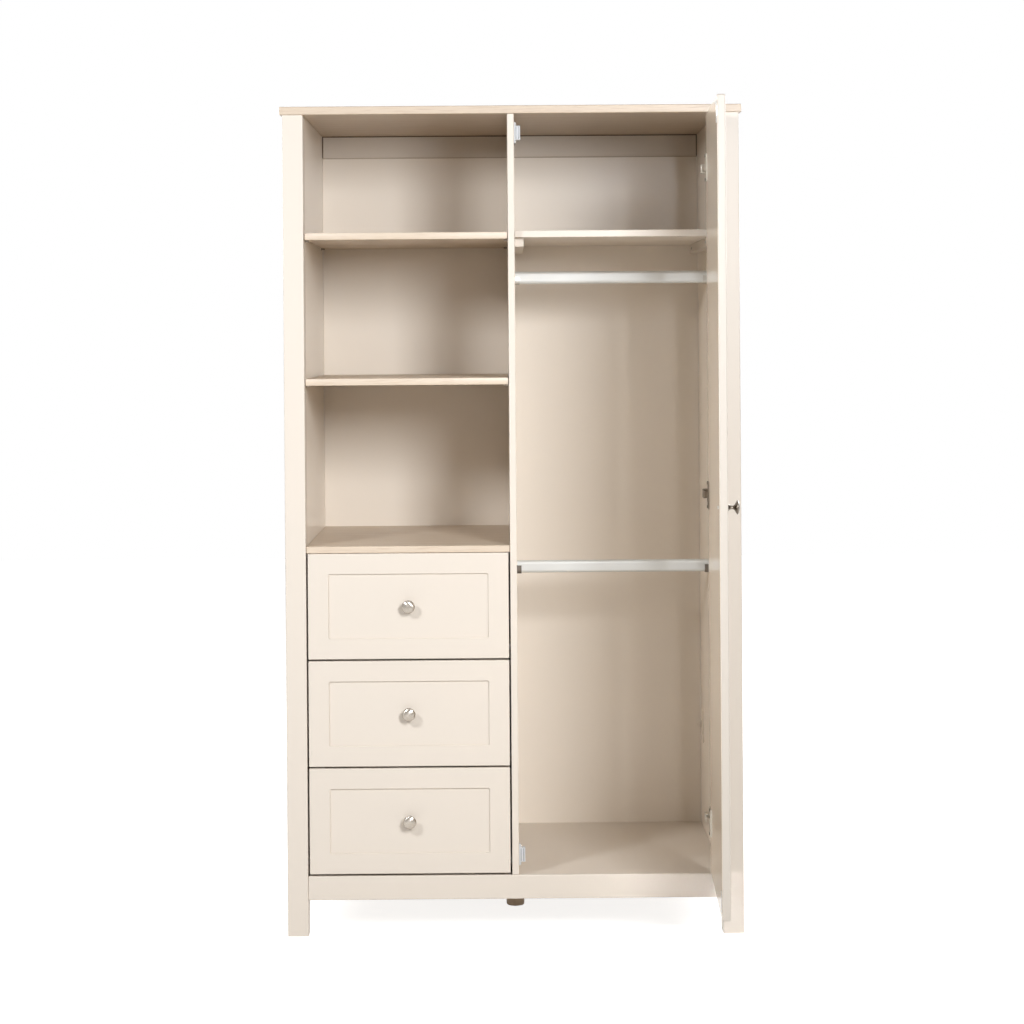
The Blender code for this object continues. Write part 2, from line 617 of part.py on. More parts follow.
def drawers():
    """Three drawers and the runners that carry them."""
    start = FRONT + RUNNER_SETBACK
    end = FRONT + DRAWER_BOX_END + RUNNER_OVERRUN
    runner_starts = {"left": -WALL + FIT_GAP, "right": -HALF_CENTRE - FIT_GAP - RUNNER_WIDTH}
    for i, label in enumerate(DRAWER_NAMES):
        bottom = PLINTH_TOP + DRAWER_BOTTOM_GAP + i * DRAWER_PITCH
        drawer(f"{label}_drawer", bottom)
        top = bottom + DRAWER_BOX_RISE - RUNNER_CLEARANCE
        for side, near in runner_starts.items():
            board(
                f"{label}_{side}_runner", (near, start, top - RUNNER_HEIGHT),
                (near + RUNNER_WIDTH, end, top), WHITE,
            )


sides()
carcase()
centre_foot()
shelves()
rails()
hardware()
door()
drawers()
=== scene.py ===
"""Cream wardrobe with an oak top: its finishes and small fittings, the studio and the camera.

Lengths are metres in the wardrobe's own frame: X runs along the front towards the hinges, Y from the front to
the back, Z up. The door stands open at rest.
"""
import json
import logging
import math
from dataclasses import dataclass
from enum import Enum
from typing import Any, Callable, Iterable, Mapping, Sequence

import bmesh
import bpy
from mathutils import Matrix, Vector

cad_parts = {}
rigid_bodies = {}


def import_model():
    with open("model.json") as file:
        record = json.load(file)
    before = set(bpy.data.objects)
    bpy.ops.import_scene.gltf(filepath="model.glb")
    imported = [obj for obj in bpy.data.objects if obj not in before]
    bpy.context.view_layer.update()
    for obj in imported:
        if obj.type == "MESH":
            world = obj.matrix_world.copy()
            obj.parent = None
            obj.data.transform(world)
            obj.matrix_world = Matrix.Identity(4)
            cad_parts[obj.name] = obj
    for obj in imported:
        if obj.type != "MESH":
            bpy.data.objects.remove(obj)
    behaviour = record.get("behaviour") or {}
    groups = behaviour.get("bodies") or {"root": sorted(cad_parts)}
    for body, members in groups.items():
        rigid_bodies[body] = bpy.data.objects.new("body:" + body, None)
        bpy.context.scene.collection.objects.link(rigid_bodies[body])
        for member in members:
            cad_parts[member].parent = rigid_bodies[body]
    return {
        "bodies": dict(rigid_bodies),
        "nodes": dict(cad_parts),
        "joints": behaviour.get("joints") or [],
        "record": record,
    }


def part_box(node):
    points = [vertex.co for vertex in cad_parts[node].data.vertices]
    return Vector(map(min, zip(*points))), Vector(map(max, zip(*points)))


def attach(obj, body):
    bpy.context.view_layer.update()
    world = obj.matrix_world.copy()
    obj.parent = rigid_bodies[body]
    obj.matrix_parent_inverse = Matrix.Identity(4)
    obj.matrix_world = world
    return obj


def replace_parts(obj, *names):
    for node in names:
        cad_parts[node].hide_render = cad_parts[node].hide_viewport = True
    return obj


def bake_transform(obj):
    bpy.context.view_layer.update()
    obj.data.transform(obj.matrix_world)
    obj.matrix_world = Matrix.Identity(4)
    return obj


LOG = logging.getLogger("wardrobe")
IMAGE_SIDE = 1024
MM = 0.001
TINY = 1e-6
SMOOTH_DEG = 35.0
WHITE = "#ffffff"
DRAWERS = ("lower", "middle", "upper")
HINGES = ("lower", "middle", "upper")
LEVELS = ("upper", "lower")
SIDES = ("left", "right")

# A Mix node's sockets go by number, because its kinds share their names.
VALUE_A, VALUE_B, VALUE_MIXED = 2, 3, 0
COLOUR_A, COLOUR_B, COLOUR_MIXED = 6, 7, 2

Point = Sequence[float]
Direction = tuple[float, float, float]
EditMesh = bmesh.types.BMesh
Socket = bpy.types.NodeSocket
Tree = bpy.types.NodeTree


class Body(str, Enum):
    """The wardrobe's moving groups."""

    CARCASE = "carcase"
    DOOR = "door"


class Slot(str, Enum):
    """Slots of the record that the finishes belong to."""

    PAINT = "cream_paint"
    OAK = "oak_foil"
    NICKEL = "brushed_nickel"
    ZINC = "zinc_plate"
    ALUMINIUM = "satin_aluminium"
    WHITE = "white_plastic"
    BROWN = "brown_plastic"
    BOARD = "drawer_board"


class Grain(Enum):
    """Direction that a wood grain runs in, as the number of its axis."""

    ALONG_WIDTH = 0
    ALONG_DEPTH = 1


def linear(code: str) -> tuple[float, float, float, float]:
    """Turn an sRGB hex colour into linear red, green, blue and alpha.

    Args:
        code: colour such as "#f0e0cd".

    Returns:
        Four linear values.
    """
    shares = [int(code[i:i + 2], 16) / 255 for i in (1, 3, 5)]
    red, green, blue = (s / 12.92 if s <= 0.04045 else ((s + 0.055) / 1.055) ** 2.4 for s in shares)
    return (red, green, blue, 1.0)


def scale_of(size_mm: float) -> float:
    """Texture scale at which one feature of a pattern is as wide as a size in millimetres."""
    return 1.0 / (size_mm * MM)


def add_node(
    tree: Tree, kind: str, inputs: Mapping[Any, Any] | None = None, **settings: Any,
) -> bpy.types.Node:
    """Add one node with its settings and links.

    Args:
        tree: node tree to add to.
        kind: type name of the node.
        inputs: constants or output sockets, by the name or number of the input they go to.
        settings: properties of the node.

    Returns:
        The new node.
    """
    node = tree.nodes.new(kind)
    for key, value in settings.items():
        setattr(node, key, value)
    for key, value in (inputs or {}).items():
        if isinstance(value, Socket):
            tree.links.new(value, node.inputs[key])
        else:
            node.inputs[key].default_value = value
    return node


@dataclass(frozen=True)
class Finish:
    """One surface finish: two tones that a pattern mixes, a sheen that swings with it, and a fine relief."""

    name: str
    slot: Slot
    colour: str
    shade: str
    roughness: float = 0.42
    gloss_swing: float = 0.05
    relief_depth_mm: float = 0.05
    relief_strength: float = 0.25
    relief_sunk: bool = False

    def patterns(self, tree: Tree, coords: Socket) -> tuple[Socket, Socket]:
        """Return the pattern of the tones and the sheen, then that of the relief."""
        raise NotImplementedError

    def tone(self, tree: Tree, pattern: Socket, relief: Socket) -> Socket:
        """Return the surface's colour, which is the two tones mixed by the pattern."""
        mix = {"Factor": pattern, COLOUR_A: linear(self.colour), COLOUR_B: linear(self.shade)}
        return add_node(tree, "ShaderNodeMix", mix, data_type="RGBA").outputs[COLOUR_MIXED]

    def paint(self, tree: Tree, shader: bpy.types.Node) -> None:
        """Lay the finish on its shader.

        Args:
            tree: node tree of the material.
            shader: the material's shader.
        """
        coords = add_node(tree, "ShaderNodeTexCoord").outputs["Object"]
        pattern, relief = self.patterns(tree, coords)
        gloss = add_node(tree, "ShaderNodeMapRange", {
            "Value": pattern,
            "To Min": self.roughness - self.gloss_swing,
            "To Max": self.roughness + self.gloss_swing,
        })
        bump = add_node(tree, "ShaderNodeBump", {
            "Height": relief,
            "Strength": self.relief_strength,
            "Distance": self.relief_depth_mm * MM,
        }, invert=self.relief_sunk)
        tree.links.new(self.tone(tree, pattern, relief), shader.inputs["Base Color"])
        tree.links.new(gloss.outputs["Result"], shader.inputs["Roughness"])
        tree.links.new(bump.outputs["Normal"], shader.inputs["Normal"])

    def material(self) -> bpy.types.Material:
        """Make the finish's material, or find the one that was made before.

        Returns:
            The material.
        """
        made = bpy.data.materials.get(self.name)
        if made is not None:
            return made
        mat = bpy.data.materials.new(self.name)
        mat.use_nodes = True
        self.paint(mat.node_tree, mat.node_tree.nodes["Principled BSDF"])
        return mat


@dataclass(frozen=True)
class SprayedLacquer(Finish):
    """Satin lacquer sprayed on board: smooth, with a faint orange peel and a clear sheen at a low angle."""

    gloss_swing: float = 0.015
    relief_strength: float = 0.10
    cloud_mm: float = 420.0
    cloud_detail: float = 4.0
    # Real orange peel is about 1.5 mm wide; it is drawn coarser so that it shows.
    peel_mm: float = 5.0
    peel_detail: float = 1.0

    def patterns(self, tree: Tree, coords: Socket) -> tuple[Socket, Socket]:
        """Add the lacquer's clouding and its peel.

        Args:
            tree: node tree of the material.
            coords: coordinates of the surface.

        Returns:
            The clouding, then the peel.
        """
        cloud = {"Vector": coords, "Scale": scale_of(self.cloud_mm), "Detail": self.cloud_detail}
        peel = {"Vector": coords, "Scale": scale_of(self.peel_mm), "Detail": self.peel_detail}
        first, second = (add_node(tree, "ShaderNodeTexNoise", noise) for noise in (cloud, peel))
        return first.outputs["Fac"], second.outputs["Fac"]


@dataclass(frozen=True)
class DoorLacquer(SprayedLacquer):
    """Satin lacquer on a door, polished on its inner side: the inner side is painted paler as painted light,
    and the edges darker as painted shade.
    """

    # Painted shade darkens the edges, and painted light brightens the inner side.
    edge_painted_shade: str = "#cac0b3"
    edge_share: float = 0.5
    inward: Direction = (-1.0, 0.0, 0.0)
    inward_share: float = 0.9
    inner_painted_light: str = "#f2e2cc"
    inner_roughness: float = 0.10
    inner_relief_strength: float = 0.02

    def paint(self, tree: Tree, shader: bpy.types.Node) -> None:
        """Lay on the satin lacquer, then the painted shade on the edges, and the painted light and the polish
        of the inner side.

        Args:
            tree: node tree of the material.
            shader: the material's shader.
        """
        super().paint(tree, shader)
        tone, gloss = (shader.inputs[name].links[0].from_socket for name in ("Base Color", "Roughness"))
        peel = shader.inputs["Normal"].links[0].from_node.inputs["Strength"]
        normal = add_node(tree, "ShaderNodeTexCoord").outputs["Normal"]
        turned_in = add_node(
            tree, "ShaderNodeVectorMath", {0: normal, 1: self.inward}, operation="DOT_PRODUCT",
        ).outputs["Value"]
        sideways = add_node(tree, "ShaderNodeMath", {0: turned_in}, operation="ABSOLUTE").outputs[0]
        edge = add_node(
            tree, "ShaderNodeMath", {0: sideways, 1: self.edge_share}, operation="LESS_THAN",
        ).outputs[0]
        inner = add_node(
            tree, "ShaderNodeMath", {0: turned_in, 1: self.inward_share}, operation="GREATER_THAN",
        ).outputs[0]
        # Lay the painted shade on the edges and the painted light on the inner side.
        for share, colour in ((edge, self.edge_painted_shade), (inner, self.inner_painted_light)):
            mix = {"Factor": share, COLOUR_A: tone, COLOUR_B: linear(colour)}
            tone = add_node(tree, "ShaderNodeMix", mix, data_type="RGBA").outputs[COLOUR_MIXED]
        polish = {"Factor": inner, VALUE_A: gloss, VALUE_B: self.inner_roughness}
        sheen = add_node(tree, "ShaderNodeMix", polish)
        relief = add_node(tree, "ShaderNodeMapRange", {
            "Value": inner, "To Min": self.relief_strength, "To Max": self.inner_relief_strength,
        })
        tree.links.new(tone, shader.inputs["Base Color"])
        tree.links.new(sheen.outputs[VALUE_MIXED], shader.inputs["Roughness"])
        tree.links.new(relief.outputs["Result"], peel)


@dataclass(frozen=True)
class WoodFoil(Finish):
    """Printed wood foil, pressed on board: long pale grain with fine darker pores and a satin seal."""

    gloss_swing: float = 0.06
    relief_depth_mm: float = 0.06
    relief_strength: float = 0.3
    relief_sunk: bool = True
    pore: str = "#a98d73"
    grain: Grain = Grain.ALONG_WIDTH
    band_mm: tuple[float, float] = (700.0, 16.0)
    # Oak's pores are under 0.5 mm wide; they are drawn coarser so that they show.
    pore_mm: tuple[float, float] = (55.0, 2.2)
    pore_start: float = 0.52
    pore_full: float = 0.74
    pore_share: float = 0.55
    streak_detail: float = 3.0

    def streak(self, tree: Tree, coords: Socket, sizes_mm: tuple[float, float]) -> Socket:
        """Add streaks that run with the grain.

        Args:
            tree: node tree of the material.
            coords: coordinates of the surface.
            sizes_mm: length and width of a streak.

        Returns:
            The streaks.
        """
        long_mm, wide_mm = sizes_mm
        scales = [scale_of(wide_mm)] * 3
        scales[self.grain.value] = scale_of(long_mm)
        stretched = add_node(tree, "ShaderNodeMapping", {"Vector": coords, "Scale": scales})
        noise = {"Vector": stretched.outputs["Vector"], "Scale": 1.0, "Detail": self.streak_detail}
        return add_node(tree, "ShaderNodeTexNoise", noise).outputs["Fac"]

    def patterns(self, tree: Tree, coords: Socket) -> tuple[Socket, Socket]:
        """Add the bands of the grain and its pores.

        Args:
            tree: node tree of the material.
            coords: coordinates of the surface.

        Returns:
            The bands, then the pores.
        """
        bands = self.streak(tree, coords, self.band_mm)
        pores = add_node(tree, "ShaderNodeMapRange", {
            "Value": self.streak(tree, coords, self.pore_mm),
            "From Min": self.pore_start,
            "From Max": self.pore_full,
            "To Max": self.pore_share,
        })
        return bands, pores.outputs["Result"]

    def tone(self, tree: Tree, pattern: Socket, relief: Socket) -> Socket:
        """Return the colour of the bands, darkened in the pores."""
        mix = {"Factor": relief, COLOUR_A: super().tone(tree, pattern, relief), COLOUR_B: linear(self.pore)}
        return add_node(tree, "ShaderNodeMix", mix, data_type="RGBA").outputs[COLOUR_MIXED]


@dataclass(frozen=True)
class WorkedMetal(Finish):
    """Metal with straight fine lines left by brushing or drawing, which pull a highlight across them."""

    gloss_swing: float = 0.06
    relief_depth_mm: float = 0.02
    relief_strength: float = 0.2
    lines: Direction = (1.0, 0.0, 0.0)
    pull: Direction | None = None
    anisotropy: float = 0.9
    metallic: float = 1.0
    # Brush lines are about 0.1 mm wide; they are drawn coarser so that they show.
    line_mm: tuple[float, float] = (60.0, 1.2)
    line_detail: float = 2.0

    def patterns(self, tree: Tree, coords: Socket) -> tuple[Socket, Socket]:
        """Add the metal's lines.

        Args:
            tree: node tree of the material.
            coords: coordinates of the surface.

        Returns:
            The lines, twice, because they are its relief too.
        """
        turn = Vector((1.0, 0.0, 0.0)).rotation_difference(Vector(self.lines)).inverted().to_euler()
        laid = add_node(tree, "ShaderNodeMapping", {"Vector": coords, "Rotation": turn})
        long_mm, wide_mm = self.line_mm
        scales = (scale_of(long_mm), scale_of(wide_mm), scale_of(wide_mm))
        stretched = add_node(tree, "ShaderNodeMapping", {"Vector": laid.outputs["Vector"], "Scale": scales})
        noise = {"Vector": stretched.outputs["Vector"], "Scale": 1.0, "Detail": self.line_detail}
        lines = add_node(tree, "ShaderNodeTexNoise", noise).outputs["Fac"]
        return lines, lines

    def paint(self, tree: Tree, shader: bpy.types.Node) -> None:
        """Lay on the lines, and pull the highlight where the metal was brushed.

        Args:
            tree: node tree of the material.
            shader: the material's shader.
        """
        super().paint(tree, shader)
        shader.inputs["Metallic"].default_value = self.metallic
        if self.pull is not None:
            shader.inputs["Anisotropic"].default_value = self.anisotropy
            tangent = add_node(tree, "ShaderNodeCombineXYZ", dict(zip("XYZ", self.pull)))
            tree.links.new(tangent.outputs["Vector"], shader.inputs["Tangent"])


@dataclass(frozen=True)
class FineGrain(Finish):
    """Even colour with a fine matt grain, as an eroded mould leaves it on plastic or a press on board."""

    # The mould's grain is about 0.2 mm; it is drawn coarser so that it shows.
    grit_mm: float = 1.2
    grit_detail: float = 2.0

    def patterns(self, tree: Tree, coords: Socket) -> tuple[Socket, Socket]:
        """Return the grain, twice, because it is the relief too."""
        noise = {"Vector": coords, "Scale": scale_of(self.grit_mm), "Detail": self.grit_detail}
        return (add_node(tree, "ShaderNodeTexNoise", noise).outputs["Fac"],) * 2


DIAGONAL = math.sqrt(0.5)
RISING, FALLING = (DIAGONAL, 0.0, DIAGONAL), (DIAGONAL, 0.0, -DIAGONAL)
DOOR_RISING, DOOR_FALLING = (0.0, DIAGONAL, DIAGONAL), (0.0, DIAGONAL, -DIAGONAL)
DEEP, UPRIGHT = (0.0, 1.0, 0.0), (0.0, 0.0, 1.0)
PRESS_MARKS_MM = (12.0, 3.0)
DRAWN_LINES_MM = (400.0, 2.0)
NICKEL_TONES = ("#b4aca2", "#9c9388")

# Cream lacquer, sprayed: one cream, even and satin on the fronts, with a little more sheen on the boards
# behind them, which are painted paler: painted light for the shade that they sit in.
FRONT_LACQUER = SprayedLacquer("cream_lacquer", Slot.PAINT, "#dbd0c2", "#d9cec0", roughness=0.42)
DOOR_LACQUER = DoorLacquer("cream_door_lacquer", Slot.PAINT, "#dbd0c2", "#d9cec0", roughness=0.42)
INSIDE_LACQUER = SprayedLacquer("cream_board_lacquer", Slot.PAINT, "#f0e5d6", "#eee3d4", roughness=0.28)

# Oak foil, printed and pressed on board: a calm pale grain under a satin seal. The shelves' foil is the top's
# oak painted paler: painted light.
OAK_FOIL = WoodFoil("light_oak_foil", Slot.OAK, "#d0bfaa", "#c5b19a", pore="#a98d73")
SHELF_FOIL = WoodFoil("pale_oak_foil", Slot.OAK, "#d8c8b3", "#cdbaa4", pore="#b1967b")
DRAWER_FOIL = WoodFoil(
    "pale_drawer_foil", Slot.BOARD, "#e0d2be", "#d8c7b0", pore="#bfa98d", grain=Grain.ALONG_DEPTH,
    pore_share=0.3,
)

# Nickel, brushed on the turned knobs: a bar of light lies across the brush lines.
RISING_STREAK = WorkedMetal(
    "brushed_nickel_rising", Slot.NICKEL, *NICKEL_TONES, 0.24, lines=FALLING, pull=RISING,
)
FALLING_STREAK = WorkedMetal(
    "brushed_nickel_falling", Slot.NICKEL, *NICKEL_TONES, 0.24, lines=RISING, pull=FALLING,
)
DOOR_NICKEL = WorkedMetal(
    "brushed_nickel_door", Slot.NICKEL, "#8f867b", "#756c61", 0.22, lines=DOOR_FALLING, pull=DOOR_RISING,
    anisotropy=0.6,
)

# Nickel plate on the pressed hinges: one nickel in three tones that are painted light and painted shade, pale
# on the upper hinge and dark on the middle one: a soft broad sheen.
# Each hinge's tone paints the light or the shade that it sits in.
HINGE_NICKEL = {
    "upper": WorkedMetal("painted_light_nickel_plate", Slot.ZINC, "#e0dbd1", "#cfc9bd", 0.40, lines=DEEP),
    "middle": WorkedMetal("painted_shade_nickel_plate", Slot.ZINC, "#8a7f70", "#72675a", 0.40, lines=DEEP),
    "lower": WorkedMetal("painted_half_shade_nickel_plate", Slot.ZINC, "#cbc5ba", "#b8b1a5", 0.40, lines=DEEP),
}

# Zinc plate on small pressed fittings: grey and bright. The rail sockets are one zinc in two tones: the lower
# pair is painted darker, as painted shade and painted reflection of the dark inside.
ZINC = WorkedMetal(
    "bright_zinc_plate", Slot.ZINC, "#c6c4c0", "#aeaba5", 0.28, lines=DEEP, line_mm=PRESS_MARKS_MM,
)
SOCKET_ZINC = {
    "upper": WorkedMetal("pale_zinc_plate", Slot.ZINC, "#cfccc5", "#bcb8b0", 0.34, lines=DEEP),
    # The lower sockets' dark tone is painted shade and painted reflection.
    "lower": WorkedMetal("painted_shade_zinc_plate", Slot.ZINC, "#7d756b", "#69615a", 0.36, lines=DEEP),
}

# Aluminium, drawn: the rails' pale tone, with little mirroring, is a painted reflection of the white studio
# that a bright rail mirrors.
ALUMINIUM = WorkedMetal(
    "satin_aluminium_painted_reflection", Slot.ALUMINIUM, "#dcdcd8", "#d5d5d0", 0.40, metallic=0.15,
    line_mm=DRAWN_LINES_MM,
)

# Bare and dark steel, pressed or turned: dull, with short marks. The screws' cross recesses are painted near
# black: painted shade.
PIN_STEEL = WorkedMetal("dull_pin_steel", Slot.ZINC, "#b5aa9c", "#a0958a", 0.50, line_mm=PRESS_MARKS_MM)
POLE_STEEL = WorkedMetal(
    "dull_pole_steel", Slot.ZINC, "#9c9ea0", "#8a8c8e", 0.50, lines=UPRIGHT, line_mm=PRESS_MARKS_MM,
)
DARK_STEEL = WorkedMetal("dark_screw_steel", Slot.ZINC, "#5d574e", "#453f37", 0.45, line_mm=PRESS_MARKS_MM)
RECESS_SHADE = WorkedMetal("painted_shade_screw_recess", Slot.ZINC, "#37322c", "#1f1b17", 0.50)

# Plastic, moulded: even, with the mould's matt grain.
WHITE_PLASTIC = FineGrain("white_moulded_plastic", Slot.WHITE, "#d4d5d6", "#cbccce")
# The foot's brown is painted pale: painted light that stands in for the floor's bounce under the plinth.
BROWN_PLASTIC = FineGrain("brown_moulded_plastic", Slot.BROWN, "#efd9c0", "#dfc7ad", roughness=0.5)

# Painted shadow for the gaps round the rail at the back's top: thin, dry, matt strips, one dark and one
# softer.
GAP_SHADOW_DARK = FineGrain("painted_gap_shadow_dark", Slot.PAINT, "#75614f", "#64523f", roughness=0.8)
GAP_SHADOW_SOFT = FineGrain("painted_gap_shadow_soft", Slot.PAINT, "#c4b5a0", "#b8a893", roughness=0.6)


def facing(spot: Point, direction: Point) -> Matrix:
    """Placement at a spot that turns +Z to a direction."""
    turn = Vector(direction).to_track_quat("Z", "Y").to_matrix().to_4x4()
    return Matrix.Translation(Vector(spot)) @ turn


def bevel(bm: EditMesh, edges: Iterable[bmesh.types.BMEdge], size: float, steps: int = 2) -> None:
    """Round a set of edges of an edit mesh."""
    bmesh.ops.bevel(
        bm, geom=list(edges), offset=size, offset_type="OFFSET", segments=steps, profile=0.5, affect="EDGES",
        clamp_overlap=True, material=-1,
    )


def plate(low: Point, high: Point, edge: float, steps: int = 2) -> EditMesh:
    """Make a block between two corners with rounded edges.

    Args:
        low: lowest corner.
        high: highest corner.
        edge: radius of the edges.
        steps: faces across a rounded edge.

    Returns:
        The block as an edit mesh.
    """
    bm = bmesh.new()
    bmesh.ops.create_cube(bm, size=1.0)
    bmesh.ops.scale(bm, vec=Vector(high) - Vector(low), verts=bm.verts)
    bmesh.ops.translate(bm, vec=(Vector(high) + Vector(low)) / 2, verts=bm.verts)
    bevel(bm, bm.edges, edge, steps)
    return bm


def turned(profile: Iterable[tuple[float, float]], steps: int) -> EditMesh:
    """Make a solid turned about Z.

    Args:
        profile: (radius, height) points that start and end on the axis.
        steps: faces round the axis.

    Returns:
        The solid as an edit mesh.
    """
    bm = bmesh.new()
    verts = [bm.verts.new((radius, 0.0, height)) for radius, height in profile]
    edges = [bm.edges.new(pair) for pair in zip(verts, verts[1:])]
    bmesh.ops.spin(
        bm, geom=verts + edges, cent=(0, 0, 0), axis=(0, 0, 1), dvec=(0, 0, 0), angle=math.tau, steps=steps,
        use_merge=True, use_normal_flip=False, use_duplicate=False,
    )
    bmesh.ops.remove_doubles(bm, verts=bm.verts, dist=TINY)
    bmesh.ops.recalc_face_normals(bm, faces=bm.faces)
    return bm


def repeat(make: Callable[[], EditMesh], places: Iterable[Matrix]) -> EditMesh:
    """Join one shape, made anew at each of several places.

    Args:
        make: makes the shape as an edit mesh.
        places: where each copy goes.

    Returns:
        All the copies as one edit mesh.
    """
    whole = bmesh.new()
    for spot in places:
        part = make()
        bmesh.ops.transform(part, matrix=spot, verts=part.verts)
        carrier = bpy.data.meshes.new("carrier")
        part.to_mesh(carrier)
        part.free()
        whole.from_mesh(carrier)
        bpy.data.meshes.remove(carrier)
    return whole


@dataclass(frozen=True)
class CrossScrew:
    """Domed screw head with a sunk cross, standing on Z = 0."""

    radius: float = 0.0034
    height: float = 0.0018
    dome_share: float = 0.7
    dome_steps: int = 3
    arm_share: float = 0.16
    reach_share: float = 0.58
    sink_share: float = 0.6
    steps: int = 20
    # A face whose normal points lower than this is on the head's underside.
    underside: float = -0.5

    def make(self) -> EditMesh:
        """Make one head, with its recess on the second finish.

        Returns:
            The head as an edit mesh.
        """
        bm = bmesh.new()
        bmesh.ops.create_cone(
            bm, cap_ends=True, cap_tris=False, segments=self.steps, radius1=self.radius, radius2=self.radius,
            depth=self.height,
        )
        bmesh.ops.translate(bm, vec=(0, 0, self.height / 2), verts=bm.verts)
        rim = [e for e in bm.edges if all(v.co.z > self.height / 2 for v in e.verts)]
        bevel(bm, rim, self.height * self.dome_share, self.dome_steps)
        arm, reach = self.radius * self.arm_share, self.radius * self.reach_share
        for normal in (Vector((1, 0, 0)), Vector((0, 1, 0))):
            for distance in (-reach, -arm, arm, reach):
                self.cut(bm, normal, distance)
        cross = [f for f in self.crown(bm) if self.in_cross(f.calc_center_median(), arm, reach)]
        grown = bmesh.ops.extrude_face_region(bm, geom=cross)["geom"]
        sunk = [v for v in grown if isinstance(v, bmesh.types.BMVert)]
        bmesh.ops.translate(bm, vec=(0, 0, -self.height * self.sink_share), verts=sunk)
        bmesh.ops.delete(bm, geom=cross, context="FACES_ONLY")
        bmesh.ops.recalc_face_normals(bm, faces=bm.faces)
        for face in bm.faces:
            face.material_index = int(self.in_recess(face, reach))
        return bm

    def crown(self, bm: EditMesh) -> list[bmesh.types.BMFace]:
        """Flat faces on top of the head."""
        return [f for f in bm.faces if all(v.co.z > self.height - TINY for v in f.verts)]

    def cut(self, bm: EditMesh, normal: Vector, distance: float) -> None:
        """Score the crown along one line.

        Args:
            bm: the head.
            normal: direction across the line.
            distance: how far the line lies from the axis.
        """
        faces = self.crown(bm)
        edges = {e for f in faces for e in f.edges}
        verts = {v for f in faces for v in f.verts}
        bmesh.ops.bisect_plane(
            bm, geom=[*verts, *edges, *faces], dist=TINY, plane_co=normal * distance, plane_no=normal,
        )

    @staticmethod
    def in_cross(middle: Vector, arm: float, reach: float) -> bool:
        """True where a point lies on one of the cross's two arms."""
        x, y = abs(middle.x), abs(middle.y)
        return (x < arm and y < reach) or (y < arm and x < reach)

    def in_recess(self, face: bmesh.types.BMFace, reach: float) -> bool:
        """Tell the faces of the sunk cross from the rest.

        Args:
            face: face of the head.
            reach: half the length of the cross.

        Returns:
            True for its floor and its walls.
        """
        floor = self.height * (1 - self.sink_share)
        sunk = any(abs(v.co.z - floor) < TINY for v in face.verts)
        near = all(max(abs(v.co.x), abs(v.co.y)) < reach + TINY for v in face.verts)
        return sunk and near and face.normal.z > self.underside


@dataclass
class Bench:
    """The loaded frame, with what every sub-assembly needs from it."""

    frame: dict[str, Any]

    def dress(self, finish: Finish, *names: str) -> None:
        """Give solids of the frame a finish.

        Args:
            finish: the finish.
            names: nodes of the frame.
        """
        for name in names:
            for socket in self.frame["nodes"][name].material_slots:
                socket.material = finish.material()
            LOG.info("%s: %s", name, finish.name)

    def add(
        self, name: str, bm: EditMesh, finishes: Sequence[Finish], body: str | None = Body.CARCASE.value,
        smooth_deg: float = SMOOTH_DEG,
    ) -> bpy.types.Object:
        """Make an edit mesh a piece of the wardrobe.

        Args:
            name: the piece's name.
            bm: its edit mesh, used up here.
            finishes: its finishes, the first one setting the slot.
            body: the body that it moves with, or nothing to leave it unattached.
            smooth_deg: edges flatter than this are shaded smooth.

        Returns:
            The new object.
        """
        mesh = bpy.data.meshes.new(name)
        bm.to_mesh(mesh)
        bm.free()
        mesh.shade_smooth()
        mesh.set_sharp_from_angle(angle=math.radians(smooth_deg))
        for finish in finishes:
            mesh.materials.append(finish.material())
        obj = bpy.data.objects.new(name, mesh)
        bpy.context.scene.collection.objects.link(obj)
        if body is not None:
            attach(obj, body)
        LOG.info("%s: %d faces", name, len(mesh.polygons))
        return obj

    def screws(
        self, name: str, head: CrossScrew, spots: Iterable[tuple[Point, Point]],
        body: str = Body.CARCASE.value, metal: Finish = ZINC,
    ) -> None:
        """Add a group of screw heads, each given by its seat and the direction that it faces."""
        group = repeat(head.make, [facing(spot, direction) for spot, direction in spots])
        # The second finish is the painted shade in each head's cross recess.
        self.add(name, group, (metal, RECESS_SHADE), body)


